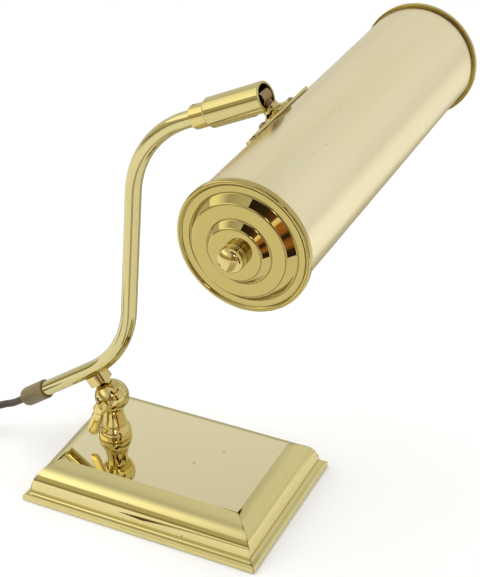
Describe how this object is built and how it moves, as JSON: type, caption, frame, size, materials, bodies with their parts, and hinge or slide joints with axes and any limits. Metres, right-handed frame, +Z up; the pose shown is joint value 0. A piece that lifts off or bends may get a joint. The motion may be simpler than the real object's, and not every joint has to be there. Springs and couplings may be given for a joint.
{
  "type": "desk lamp",
  "caption": "Brass desk lamp: weighted mitred base, bent arm on a ball joint with thumb screw, swivelling head and a long open cylinder shade with stepped end caps.",
  "frame": {"origin": "centre of the base's underside, on the surface it stands on", "axes": "+Z up, +X along the base's long side towards the shade, +Y along the shade's axis away from the thumb screw"},
  "size_m": [0.492, 0.3416, 0.356],
  "materials": {
    "polished_brass": "polished, lacquered",
    "satin_brass": "soft polish",
    "nickelled_steel": "turned",
    "black_screw": "blackened",
    "lead_glass": "clear",
    "cast_iron": "rough",
    "felt": "wool felt",
    "bushing_plastic": "semi-gloss",
    "cord_pvc": "smooth",
    "plug_plastic": "semi-gloss",
    "tie_plastic": "matte",
    "bakelite": "gloss",
    "bulb_glass": "clear"
  },
  "bodies": {
    "base": {"base_cover": "polished_brass", "base_weight": "cast_iron", "felt_pad": "felt", "column_foot": "polished_brass", "pivot_post": "polished_brass", "base_rod": "nickelled_steel", "base_washer": "nickelled_steel", "base_nut": "nickelled_steel", "cord_lead": "cord_pvc", "cord_coil": "cord_pvc", "cord_tail": "cord_pvc", "cord_tie": "tie_plastic", "plug_body": "plug_plastic", "plug_pins": "nickelled_steel"},
    "thumbscrew": {"thumb_screw": "polished_brass"},
    "arm": {"tilt_tongue": "polished_brass", "arm_tube": "polished_brass", "cord_bushing": "bushing_plastic", "arm_flex": "cord_pvc", "swivel_collar": "polished_brass", "collar_screw": "black_screw", "swivel_stub": "nickelled_steel", "stub_nut": "nickelled_steel"},
    "head": {"swivel_housing": "polished_brass", "knuckle_pin": "polished_brass"},
    "shade": {"knuckle_link": "polished_brass", "tulip_neck": "polished_brass", "flange_washer": "polished_brass", "bracket_strip": "polished_brass", "bracket_screws": "polished_brass", "bracket_nuts": "nickelled_steel", "nipple_nut": "nickelled_steel", "shade_shell": "satin_brass", "front_cap": "polished_brass", "rear_cap": "polished_brass", "front_finial": "polished_brass", "finial_nut": "nickelled_steel", "switch_block": "bakelite", "lampholder": "bakelite", "bulb_cap": "nickelled_steel", "bulb_glass": "bulb_glass", "bulb_filament": "lead_glass", "shade_flex": "cord_pvc"},
    "switch": {"switch_knob": "polished_brass"}
  },
  "joints": [
    {"name": "arm_tilt", "type": "hinge", "parent": "base", "child": "arm", "pos_m": [-0.0535, 0, 0.069], "axis": [0, 1, 0], "range_deg": [-10, 20], "deforming": ["cord_lead"]},
    {"name": "thumb_screw_turn", "type": "hinge", "parent": "base", "child": "thumbscrew", "pos_m": [-0.0535, 0, 0.069], "axis": [0, 1, 0], "range_deg": [-60, 80]},
    {"name": "head_swivel", "type": "hinge", "parent": "arm", "child": "head", "pos_m": [0.0431, 0, 0.32757], "axis": [0.9085, 0, 0.4179], "range_deg": [-60, 60]},
    {"name": "shade_tilt", "type": "hinge", "parent": "head", "child": "shade", "pos_m": [0.08053, 0, 0.34479], "axis": [0, 1, 0], "range_deg": [-40, 30]},
    {"name": "switch_turn", "type": "hinge", "parent": "shade", "child": "switch", "pos_m": [0.12483, 0.178, 0.30892], "axis": [0, 1, 0], "range_deg": [0, 90]}
  ]
}
